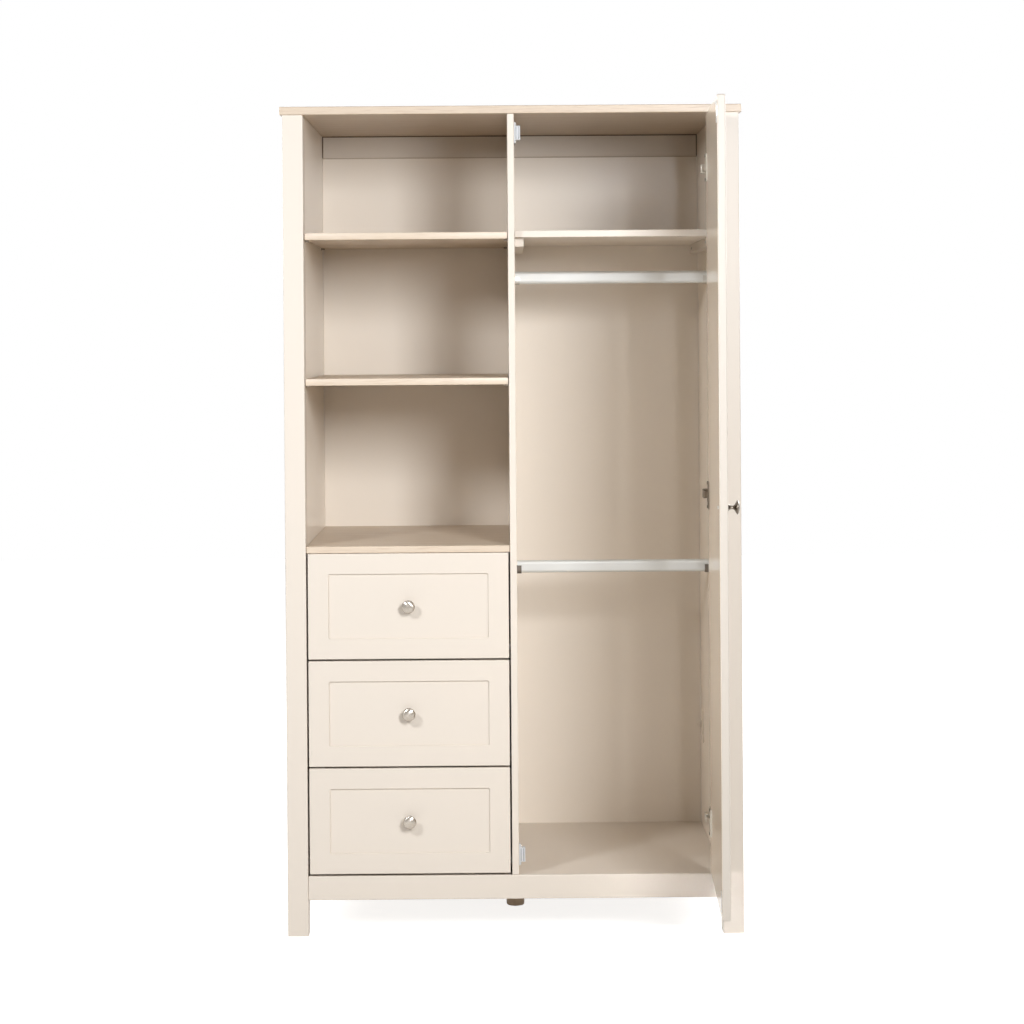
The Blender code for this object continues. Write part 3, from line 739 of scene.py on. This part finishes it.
@dataclass(frozen=True)
class Knob:
    """Turned mushroom knob, standing on Z = 0 with its head up, and the screw that holds it."""

    diameter: float = 0.030
    neck_diameter: float = 0.007
    base_diameter: float = 0.018
    reach: float = 0.026
    steps: int = 40
    smooth_deg: float = 75.0
    rounding_levels: int = 1
    screw: CrossScrew = CrossScrew(radius=0.0042, height=0.0016)
    # Shares of each radius, with the height as a share of the reach, from the tip to the base.
    head: tuple[Point, ...] = (
        (0.00, 1.00), (0.30, 0.99), (0.58, 0.955), (0.82, 0.90), (0.96, 0.84), (1.00, 0.79), (0.97, 0.75),
        (0.78, 0.69), (0.55, 0.635),
    )
    neck: tuple[Point, ...] = ((1.35, 0.54), (1.00, 0.44), (1.04, 0.34), (1.25, 0.25))
    base: tuple[Point, ...] = ((0.70, 0.14), (0.96, 0.04), (1.00, 0.02), (1.00, 0.00), (0.00, 0.00))

    def make(self) -> EditMesh:
        """Make the knob.

        Returns:
            The knob as an edit mesh.
        """
        bands = ((self.diameter, self.head), (self.neck_diameter, self.neck), (self.base_diameter, self.base))
        profile = [(wide / 2 * share, self.reach * height) for wide, band in bands for share, height in band]
        return turned(profile, self.steps)

    def fit(self, bench: Bench, node: str, finish: Finish, body: str, seat: Point, direction: Point) -> None:
        """Put a finer knob in place of a solid one.

        Args:
            bench: the loaded frame.
            node: the solid knob's name.
            finish: metal of the knob.
            body: body that it moves with.
            seat: middle of its base.
            direction: where its head points.
        """
        bm = self.make()
        bmesh.ops.transform(bm, matrix=facing(seat, direction), verts=bm.verts)
        obj = bench.add(f"{node}_turned", bm, (finish,), body, smooth_deg=self.smooth_deg)
        rounding = obj.modifiers.new("rounding", "SUBSURF")
        rounding.levels = rounding.render_levels = self.rounding_levels
        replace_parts(obj, node)


KNOB = Knob()


@dataclass
class Assembly:
    """A group of the wardrobe's pieces, put together on the bench."""

    bench: Bench

    def dress(self) -> None:
        """Give the group's solids their finishes."""
        raise NotImplementedError

    def build(self) -> None:
        """Add the group's small fittings."""
        raise NotImplementedError


@dataclass
class Carcase(Assembly):
    """Posts, sides, back, top, bottom and the panel between the two halves."""

    nail_radius: float = 0.0022
    nail_height: float = 0.0009
    nail_flat_share: float = 0.8
    nail_rim_share: float = 0.6
    nail_steps: int = 14
    nail_inset: float = 0.007
    nail_pitch: float = 0.150
    shadow_strip_width: float = 0.0022
    shadow_strip_proud: float = 0.0002
    shadow_strip_edge: float = 0.00005

    def dress(self) -> None:
        """Give the boards their finishes."""
        for side in SIDES:
            self.bench.dress(FRONT_LACQUER, f"front_{side}_post")
            self.bench.dress(INSIDE_LACQUER, f"rear_{side}_post", f"{side}_side_panel")
        self.bench.dress(FRONT_LACQUER, "plinth_rail", "centre_panel", "bottom_panel", "back_top_rail")
        self.bench.dress(INSIDE_LACQUER, "back_panel")
        self.bench.dress(OAK_FOIL, "top_panel")
        self.bench.dress(BROWN_PLASTIC, "centre_foot")

    def build(self) -> None:
        """Add the painted shadow strips in the gaps round the rail along the back's top, and the nails of the
        back panel.
        """
        self.joints()
        self.nails()

    def joints(self) -> None:
        """Add the shade of each gap round the rail as a thin dark strip on a face: painted shadow."""
        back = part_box("back_panel")[0].y
        low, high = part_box("back_top_rail")
        width, top = self.shadow_strip_width, high.z - self.shadow_strip_width
        strips = {
            "lower": (back, (low.x, low.z - width), (high.x, low.z), GAP_SHADOW_SOFT),
            "upper": (low.y, (low.x, top), (high.x, high.z), GAP_SHADOW_DARK),
            "left": (low.y, (low.x, low.z), (low.x + width, top), GAP_SHADOW_DARK),
            "right": (low.y, (high.x - width, low.z), (high.x, top), GAP_SHADOW_DARK),
        }
        # Each strip is a painted shadow laid on the rail or on the back panel.
        for place, (face, (left, bottom), (right, end), finish) in strips.items():
            near = face - self.shadow_strip_proud
            strip = plate((left, near, bottom), (right, face, end), self.shadow_strip_edge, steps=1)
            self.bench.add(f"back_rail_{place}_joint", strip, (finish,))

    def nails(self) -> None:
        """Add the nails along the back panel's edges and up its middle."""
        low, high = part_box("back_panel")
        columns = (low.x + self.nail_inset, (low.x + high.x) / 2, high.x - self.nail_inset)
        rows = (low.z + self.nail_inset, high.z - self.nail_inset)
        spots = [(x, z) for x in self.along(low.x, high.x) for z in rows]
        spots += [(x, z) for z in self.along(low.z, high.z)[1:-1] for x in columns]
        places = [facing((x, high.y, z), (0, 1, 0)) for x, z in spots]
        self.bench.add("back_nails", repeat(self.nail, places), (ZINC,))

    def along(self, start: float, end: float) -> list[float]:
        """Space nails evenly along a side.

        Args:
            start: one end of the side.
            end: its other end.

        Returns:
            The nails' places.
        """
        first, last = start + self.nail_inset, end - self.nail_inset
        count = max(1, round((last - first) / self.nail_pitch))
        return [first + (last - first) * i / count for i in range(count + 1)]

    def nail(self) -> EditMesh:
        """Make a flat nail head.

        Returns:
            The head as an edit mesh.
        """
        r, h = self.nail_radius, self.nail_height
        flat, rim = r * self.nail_flat_share, h * self.nail_rim_share
        return turned(((0.0, h), (flat, h), (r, rim), (r, 0.0), (0.0, 0.0)), self.nail_steps)


@dataclass
class Shelving(Assembly):
    """Oak shelves over the drawers and the pins that carry the loose ones."""

    pin_radius: float = 0.0020
    pin_reach: float = 0.009
    tip_share: float = 0.7
    tip_start_share: float = 0.92
    collar_radius: float = 0.0030
    collar_reach: float = 0.0012
    collar_flat_share: float = 0.9
    collar_rim_share: float = 0.7
    pin_steps: int = 20
    pin_from_front: float = 0.040
    pin_from_back: float = 0.060
    end_play: float = 0.0012
    board_edge: float = 0.0008

    def dress(self) -> None:
        """Give the shelves their finish."""
        self.bench.dress(SHELF_FOIL, "drawer_top_shelf", "lower_shelf", "upper_shelf")

    def build(self) -> None:
        """Show the loose shelves with play at their ends, and add four pins under each."""
        walls = ((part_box("front_left_post")[1].x, 1), (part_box("centre_panel")[0].x, -1))
        play = Vector((self.end_play, 0, 0))
        for name in ("lower_shelf", "upper_shelf"):
            low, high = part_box(name)
            board = plate(low + play, high - play, self.board_edge)
            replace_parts(self.bench.add(f"{name}_board", board, (SHELF_FOIL,)), name)
            height = low.z - self.pin_radius
            depths = (low.y + self.pin_from_front, high.y - self.pin_from_back)
            places = [facing((x, y, height), (way, 0, 0)) for x, way in walls for y in depths]
            self.bench.add(f"{name}_pins", repeat(self.pin, places), (PIN_STEEL,))

    def pin(self) -> EditMesh:
        """Make a turned shelf pin with a collar against the wall.

        Returns:
            The pin as an edit mesh.
        """
        r, reach, collar, rim = self.pin_radius, self.pin_reach, self.collar_radius, self.collar_reach
        tip = ((0.0, reach), (r * self.tip_share, reach), (r, reach * self.tip_start_share), (r, rim))
        foot = ((collar * self.collar_flat_share, rim), (collar, rim * self.collar_rim_share), (collar, 0.0))
        return turned((*tip, *foot, (0.0, 0.0)), self.pin_steps)


@dataclass
class HangingSpace(Assembly):
    """Shelf on cleats, hanging rails with their sockets, and the door's catches."""

    cleat_screw: CrossScrew = CrossScrew()
    cleat_screw_inset: float = 0.060
    catch_screw: CrossScrew = CrossScrew(radius=0.0028, height=0.0014)
    catch_screw_inset: float = 0.0037
    catch_screw_seat: float = 0.0042
    pole_start: float = 0.0037
    pole_thickness: float = 0.0019
    pole_height: float = 0.028
    pole_depth: float = 0.004
    pole_edge: float = 0.0002
    pole_proud: float = 0.0005
    pole_inset: float = 0.0026

    def dress(self) -> None:
        """Give the boards, rails, sockets and catches their finishes."""
        self.bench.dress(FRONT_LACQUER, "hanging_shelf", "left_cleat", "right_cleat")
        for level in LEVELS:
            self.bench.dress(ALUMINIUM, f"{level}_hanging_rail")
            self.bench.dress(SOCKET_ZINC[level], *(f"{level}_rail_{side}_socket" for side in SIDES))
            self.bench.dress(WHITE_PLASTIC, f"{level}_catch")

    def build(self) -> None:
        """Add the cleats' screws, and the pole plates and screws of the catches."""
        for name, way in (("left_cleat", 1), ("right_cleat", -1)):
            low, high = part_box(name)
            face, height = (high.x if way > 0 else low.x), (low.z + high.z) / 2
            depths = (low.y + self.cleat_screw_inset, high.y - self.cleat_screw_inset)
            spots = [((face, y, height), (way, 0, 0)) for y in depths]
            self.bench.screws(f"{name}_screws", self.cleat_screw, spots)
        for level in LEVELS:
            self.catch(level)

    def catch(self, level: str) -> None:
        """Add one catch's two pole plates and the screws in its ears.

        Args:
            level: which catch.
        """
        low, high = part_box(f"{level}_catch")
        middle = (low + high) / 2
        starts = (low.x + self.pole_start, high.x - self.pole_inset - self.pole_thickness)
        front, foot = low.y - self.pole_proud, middle.z - self.pole_height / 2
        size = (self.pole_thickness, self.pole_depth, self.pole_height)
        places = [Matrix.Translation((x, front, foot)) for x in starts]
        poles = repeat(lambda: plate((0, 0, 0), size, self.pole_edge), places)
        self.bench.add(f"{level}_catch_poles", poles, (POLE_STEEL,))
        face = low.x + self.catch_screw_seat
        ends = (low.z + self.catch_screw_inset, high.z - self.catch_screw_inset)
        spots = [((face, middle.y, z), (1, 0, 0)) for z in ends]
        self.bench.screws(f"{level}_catch_screws", self.catch_screw, spots)


@dataclass
class Door(Assembly):
    """Hinged door with its knob, hinges and strike plates, laid out as closed and then opened on its axis."""

    flange_screw: CrossScrew = CrossScrew(radius=0.0036, height=0.0015)
    flange_screw_inset: float = 0.0038
    arm_screw: CrossScrew = CrossScrew(radius=0.0034, height=0.0016)
    arm_screw_spots: tuple[float, float] = (0.010, 0.030)
    arm_thickness: float = 0.0158
    strike_width: float = 0.014
    strike_height: float = 0.042
    strike_thickness: float = 0.0015
    strike_edge: float = 0.0005
    strike_from_edge: float = 0.0025
    link_height: float = 0.013
    link_thickness: float = 0.0024
    # Turning points of a hinge link, seen from above with the door open.
    link_route: tuple[Point, ...] = (
        (0.4290, -0.2785), (0.4285, -0.2960), (0.4286, -0.3060), (0.4330, -0.3150), (0.4405, -0.3225),
    )

    def opened(self) -> Matrix:
        """Work out the turn that takes the closed door to its place at rest.

        Returns:
            The turn about the door's axis.
        """
        joint = next(j for j in self.bench.frame["joints"] if j["name"] == "door_hinge")
        axis = Matrix.Translation(Vector(joint["pos_m"]))
        turn = Matrix.Rotation(-math.radians(joint["range_deg"][0]), 4, Vector(joint["axis"]))
        return axis @ turn @ axis.inverted()

    def closed_box(self, name: str) -> tuple[Vector, Vector]:
        """Measure one of the door's solids with the door closed.

        Args:
            name: the solid's node.

        Returns:
            Its lowest and highest corners.
        """
        back = self.opened().inverted()
        corners = [back @ v.co for v in self.bench.frame["nodes"][name].data.vertices]
        low = Vector(min(c[i] for c in corners) for i in range(3))
        high = Vector(max(c[i] for c in corners) for i in range(3))
        return low, high

    def dress(self) -> None:
        """Give the door's solids their finishes."""
        self.bench.dress(DOOR_LACQUER, "door_panel")
        self.bench.dress(DOOR_NICKEL, "door_knob")
        for level in HINGES:
            self.bench.dress(HINGE_NICKEL[level], f"hinge_cup_{level}", f"hinge_arm_{level}")

    def build(self) -> None:
        """Add the knob with its screw, the strike plates, and the hinges' screws and links."""
        turn = self.opened()
        panel_low, panel_high = self.closed_box("door_panel")
        inside = panel_high.y
        knob_low, knob_high = self.closed_box("door_knob")
        knob = (knob_low + knob_high) / 2
        self.put_screws("door_knob_screw", KNOB.screw, [(knob.x, inside, knob.z)])
        seat = turn @ Vector((knob.x, knob_high.y, knob.z))
        outward = turn.to_3x3() @ Vector((0, -1, 0))
        KNOB.fit(self.bench, "door_knob", DOOR_NICKEL, Body.DOOR.value, seat, outward)
        for level in LEVELS:
            self.strike(level, Vector((panel_low.x + self.strike_from_edge, inside, 0.0)))
        for level in HINGES:
            self.hinge(level)

    def strike(self, level: str, corner: Vector) -> None:
        """Add the strike plate that meets one catch.

        Args:
            level: which catch.
            corner: where the plates' free edge meets the closed door's inner side, at the floor's height.
        """
        low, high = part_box(f"{level}_catch")
        start = corner + Vector((0.0, 0.0, (low.z + high.z - self.strike_height) / 2))
        size = Vector((self.strike_width, self.strike_thickness, self.strike_height))
        bm = plate(start, start + size, self.strike_edge)
        bmesh.ops.transform(bm, matrix=self.opened(), verts=bm.verts)
        self.bench.add(f"{level}_strike_plate", bm, (ZINC,), Body.DOOR.value)

    def put_screws(self, name: str, head: CrossScrew, seats: Iterable[Point], metal: Finish = ZINC) -> None:
        """Add screw heads on the door's inner side.

        Args:
            name: name of the group.
            head: the head that is repeated.
            seats: where each one sits on the closed door.
            metal: what they are made of.
        """
        turn = self.opened()
        inward = turn.to_3x3() @ Vector((0, 1, 0))
        spots = [(turn @ Vector(seat), inward) for seat in seats]
        self.bench.screws(name, head, spots, Body.DOOR.value, metal)

    def hinge(self, level: str) -> None:
        """Add one hinge's screws and its link.

        Args:
            level: which hinge.
        """
        low, high = self.closed_box(f"hinge_cup_{level}")
        x = (low.x + high.x) / 2
        ends = (low.z + self.flange_screw_inset, high.z - self.flange_screw_inset)
        seats = [(x, high.y, z) for z in ends]
        self.put_screws(f"hinge_flange_screws_{level}", self.flange_screw, seats, DARK_STEEL)
        arm_low, arm_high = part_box(f"hinge_arm_{level}")
        height = (arm_low.z + arm_high.z) / 2
        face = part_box("front_right_post")[0].x - self.arm_thickness
        spots = [((face, arm_high.y - y, height), (-1, 0, 0)) for y in self.arm_screw_spots]
        self.bench.screws(f"hinge_arm_screws_{level}", self.arm_screw, spots)
        link = self.bench.add(f"hinge_link_{level}", self.link(height), (HINGE_NICKEL[level],), body=None)
        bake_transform(link)

    def link(self, height: float) -> EditMesh:
        """Make the bent link between a hinge's arm and its cup.

        Args:
            height: height of its middle.

        Returns:
            The link as an edit mesh.
        """
        bm = bmesh.new()
        low = height - self.link_height / 2
        line = [bm.verts.new((x, y, low)) for x, y in self.link_route]
        edges = [bm.edges.new(pair) for pair in zip(line, line[1:])]
        grown = bmesh.ops.extrude_edge_only(bm, edges=edges)["geom"]
        raised = [v for v in grown if isinstance(v, bmesh.types.BMVert)]
        bmesh.ops.translate(bm, vec=(0, 0, self.link_height), verts=raised)
        bmesh.ops.recalc_face_normals(bm, faces=bm.faces)
        bmesh.ops.solidify(bm, geom=list(bm.faces), thickness=self.link_thickness)
        bmesh.ops.recalc_face_normals(bm, faces=bm.faces)
        return bm


@dataclass
class DrawerStack(Assembly):
    """Three drawers with their knobs, boxes and runners."""

    def brush(self, label: str) -> Finish:
        """Metal of one drawer's knob, whose highlight runs as its knob was turned in."""
        return FALLING_STREAK if label == "upper" else RISING_STREAK

    def dress(self) -> None:
        """Give the drawers' solids their finishes."""
        for label in DRAWERS:
            self.bench.dress(FRONT_LACQUER, f"{label}_drawer_front")
            self.bench.dress(self.brush(label), f"{label}_drawer_knob")
            boards = [f"{label}_drawer_{part}" for part in ("left_side", "right_side", "back", "base")]
            self.bench.dress(DRAWER_FOIL, *boards)
            self.bench.dress(WHITE_PLASTIC, *(f"{label}_{side}_runner" for side in SIDES))

    def build(self) -> None:
        """Add each drawer's knob and the screw that holds it, inside the drawer."""
        for label in DRAWERS:
            node, body = f"{label}_drawer_knob", f"{label}_drawer"
            low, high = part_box(node)
            x, z = (low.x + high.x) / 2, (low.z + high.z) / 2
            KNOB.fit(self.bench, node, self.brush(label), body, (x, high.y, z), (0, -1, 0))
            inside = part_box(f"{label}_drawer_front")[1].y
            self.bench.screws(f"{node}_screw", KNOB.screw, [((x, inside, z), (0, 1, 0))], body)


@dataclass(frozen=True)
class Softbox:
    """Soft rectangular lamp."""

    name: str
    place: Point
    aim: Point
    width: float
    height: float
    watts: float
    spread_deg: float = 180.0
    colour: str = "#f5f9ff"

    def hang(self) -> None:
        """Hang the lamp where it lights the wardrobe but isn't seen."""
        lamp = bpy.data.lights.new(self.name, "AREA")
        lamp.shape = "RECTANGLE"
        lamp.size, lamp.size_y = self.width, self.height
        lamp.energy = self.watts
        lamp.color = linear(self.colour)[:3]
        lamp.spread = math.radians(self.spread_deg)
        obj = bpy.data.objects.new(self.name, lamp)
        obj.location = self.place
        obj.rotation_euler = (Vector(self.aim) - Vector(self.place)).to_track_quat("-Z", "Y").to_euler()
        obj.visible_camera = False
        bpy.context.scene.collection.objects.link(obj)


@dataclass
class Studio:
    """Pale floor, plain light and the camera."""

    # Each lamp's place, aim, width, height, power and, where it is narrowed, its spread.
    lamps: tuple[Softbox, ...] = (
        Softbox("right_softbox", (1.08, -3.50, 2.10), (-0.58, 0.0, 0.60), 0.80, 1.00, 56.0, 128.0),
        Softbox("left_softbox", (-1.60, -2.25, 2.10), (0.0, 0.0, 0.6), 0.36, 0.36, 36.5),
        Softbox("door_strip", (-2.60, -1.35, 1.25), (0.455, -0.53, 1.34), 0.25, 1.80, 1.05, 14.0),
        Softbox("plinth_kicker", (-0.90, -2.20, 0.10), (0.43, -0.2925, 0.105), 0.10, 0.06, 0.09, 12.0),
        Softbox("rear_left_softbox", (-2.6, 2.4, 2.2), (0.0, 0.3, 0.9), 1.6, 1.6, 85.0),
        Softbox("rear_right_softbox", (2.6, 2.4, 2.2), (0.0, 0.3, 0.9), 1.6, 1.6, 85.0),
    )
    ambient: float = 0.08
    ambient_colour: str = "#f6dabd"
    floor_half_side: float = 9.0
    floor_glow: float = 0.80
    floor_near: float = 1.0
    floor_far: float = 2.6
    floor_colour: str = "#dbd8d3"
    floor_roughness: float = 1.0
    floor_specular: float = 0.0
    camera_place: Point = (-0.0215, -5.7336, 1.3360)
    camera_pitch_deg: float = 0.2785
    camera_yaw_deg: float = 0.2264
    camera_roll_deg: float = 0.4130
    focal_pixels: float = 2440.4
    centre_row: float = 348.0
    sensor_mm: float = 36.0

    def build(self) -> None:
        """Set up the floor, the light and the camera."""
        bpy.context.scene.view_settings.view_transform = "Standard"
        for lamp in self.lamps:
            lamp.hang()
        self.world()
        self.floor()
        self.camera()

    @staticmethod
    def seen_directly(tree: Tree) -> Socket:
        """Add what tells rays from the camera, off gloss and through glass from the rest.

        Args:
            tree: node tree to add to.

        Returns:
            Socket that is 1 for those rays.
        """
        path = add_node(tree, "ShaderNodeLightPath")
        seen = path.outputs["Is Camera Ray"]
        for name in ("Is Glossy Ray", "Is Transmission Ray"):
            both = {0: seen, 1: path.outputs[name]}
            seen = add_node(tree, "ShaderNodeMath", both, operation="MAXIMUM").outputs[0]
        return seen

    def world(self) -> None:
        """Set up dim even light all round that looks white where it is seen."""
        world = bpy.data.worlds.new("studio")
        bpy.context.scene.world = world
        world.use_nodes = True
        tree = world.node_tree
        background = tree.nodes["Background"]
        seen = self.seen_directly(tree)
        strength = add_node(tree, "ShaderNodeMapRange", {"Value": seen, "To Min": self.ambient})
        mix = {"Factor": seen, COLOUR_A: linear(self.ambient_colour), COLOUR_B: linear(WHITE)}
        colour = add_node(tree, "ShaderNodeMix", mix, data_type="RGBA")
        tree.links.new(colour.outputs[COLOUR_MIXED], background.inputs["Color"])
        tree.links.new(strength.outputs["Result"], background.inputs["Strength"])

    def floor(self) -> None:
        """Lay a plain pale floor that keeps the wardrobe's shadow."""
        bm = bmesh.new()
        bmesh.ops.create_grid(bm, x_segments=1, y_segments=1, size=self.floor_half_side)
        mesh = bpy.data.meshes.new("studio_floor")
        bm.to_mesh(mesh)
        bm.free()
        mesh.materials.append(self.floor_material())
        obj = bpy.data.objects.new("studio_floor", mesh)
        bpy.context.scene.collection.objects.link(obj)

    def floor_material(self) -> bpy.types.Material:
        """Make the floor's matt paint, which fades to white away from the wardrobe.

        Returns:
            The material.
        """
        mat = bpy.data.materials.new("studio_floor")
        mat.use_nodes = True
        tree = mat.node_tree
        shader = tree.nodes["Principled BSDF"]
        shader.inputs["Base Color"].default_value = linear(self.floor_colour)
        shader.inputs["Roughness"].default_value = self.floor_roughness
        shader.inputs["Specular IOR Level"].default_value = self.floor_specular
        shader.inputs["Emission Color"].default_value = linear(WHITE)
        spot = add_node(tree, "ShaderNodeTexCoord").outputs["Object"]
        away = add_node(tree, "ShaderNodeVectorMath", {0: spot}, operation="LENGTH").outputs["Value"]
        pale = add_node(tree, "ShaderNodeMapRange", {
            "Value": away, "From Min": self.floor_near, "From Max": self.floor_far, "To Min": self.floor_glow,
        }, interpolation_type="SMOOTHSTEP").outputs["Result"]
        glow = add_node(tree, "ShaderNodeMath", {0: self.seen_directly(tree), 1: pale}, operation="MULTIPLY")
        tree.links.new(glow.outputs[0], shader.inputs["Emission Strength"])
        return mat

    def camera(self) -> None:
        """Set the camera at the photograph's place, with the lens shift that keeps the posts upright."""
        data = bpy.data.cameras.new("camera")
        data.sensor_width = self.sensor_mm
        data.lens = self.focal_pixels / IMAGE_SIDE * self.sensor_mm
        data.shift_y = (self.centre_row - IMAGE_SIDE / 2) / IMAGE_SIDE
        obj = bpy.data.objects.new("camera", data)
        turn = (
            Matrix.Rotation(-math.radians(self.camera_yaw_deg), 4, "Z")
            @ Matrix.Rotation(math.radians(90.0 - self.camera_pitch_deg), 4, "X")
            @ Matrix.Rotation(-math.radians(self.camera_roll_deg), 4, "Z")
        )
        obj.matrix_world = Matrix.Translation(Vector(self.camera_place)) @ turn
        bpy.context.scene.collection.objects.link(obj)
        bpy.context.scene.camera = obj


def main() -> None:
    """Dress the wardrobe, add its small fittings and set up the studio."""
    logging.basicConfig(level=logging.INFO, format="%(message)s")
    bench = Bench(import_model())
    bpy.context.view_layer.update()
    for group in (Carcase, Shelving, HangingSpace, Door, DrawerStack):
        assembly = group(bench)
        assembly.dress()
        assembly.build()
    Studio().build()


if __name__ == "__main__":
    main()
